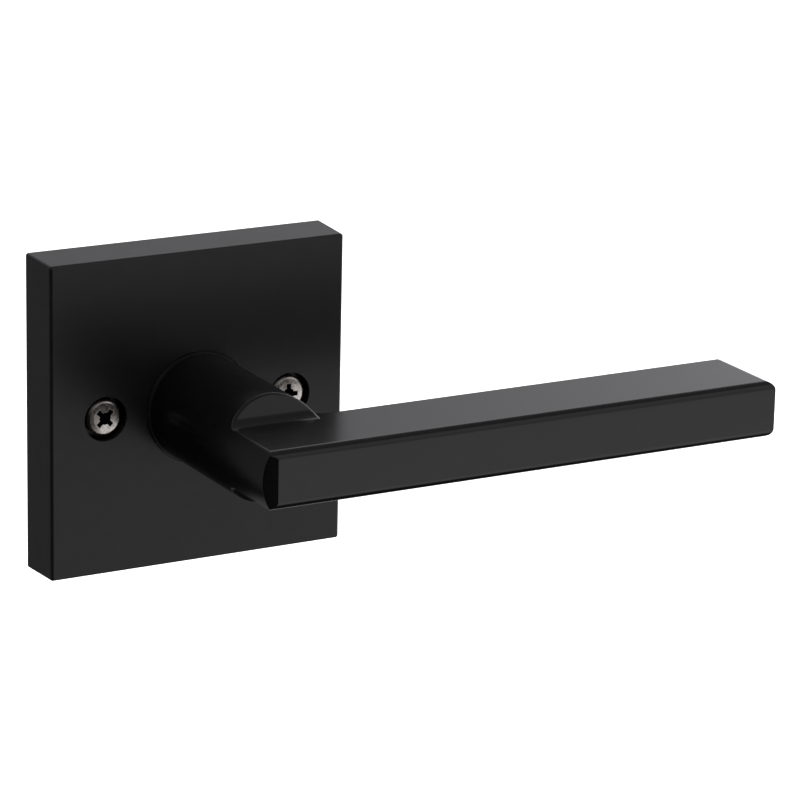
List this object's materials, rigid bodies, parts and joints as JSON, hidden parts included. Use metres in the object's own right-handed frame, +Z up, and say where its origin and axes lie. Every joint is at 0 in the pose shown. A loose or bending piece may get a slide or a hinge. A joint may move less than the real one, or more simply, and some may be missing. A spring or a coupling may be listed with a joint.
{
  "type": "door lever handle",
  "caption": "Matte black door lever on a square sprung rose, inside half, with two exposed cross-head through screws and a square spindle.",
  "frame": {"origin": "where the spindle's axis meets the door's face, which is the plane of the rose's back rim", "axes": "+Y into the door along the spindle, +X along the lever's arm, +Z up"},
  "size_m": [0.1386, 0.1102, 0.066],
  "materials": {
    "black_coat": "fine matte black powder coat",
    "zinc_screw": "bright zinc plated steel",
    "nylon": "black acetal",
    "plated_steel": "zinc plated pressed steel",
    "spring_steel": "dark spring steel",
    "spindle_steel": "bright drawn steel"
  },
  "bodies": {
    "rose_assembly": {"rose": "black_coat", "bearing_bush": "nylon", "spring_cage": "plated_steel", "cage_cover": "plated_steel", "stop_pin_left": "plated_steel", "stop_pin_right": "plated_steel", "spring_post": "plated_steel", "return_spring": "spring_steel", "thrust_washer": "nylon", "mounting_screw_left": "zinc_screw", "mounting_screw_right": "zinc_screw", "cage_screw_1": "plated_steel", "cage_screw_2": "plated_steel", "cage_screw_3": "plated_steel", "cage_screw_4": "plated_steel"},
    "lever": {"lever_handle": "black_coat", "neck_washer": "nylon", "spindle": "spindle_steel", "set_screw": "spring_steel", "driver_plate": "plated_steel", "wave_washer": "spring_steel", "retaining_ring": "spring_steel"}
  },
  "joints": [
    {"name": "lever_turn", "type": "hinge", "parent": "rose_assembly", "child": "lever", "pos_m": [0, 0, 0], "axis": [0, 1, 0], "range_deg": [-50, 50], "stiffness_Nm_per_rad": 2, "springref_deg": -4.58, "deforming": ["return_spring"]}
  ]
}
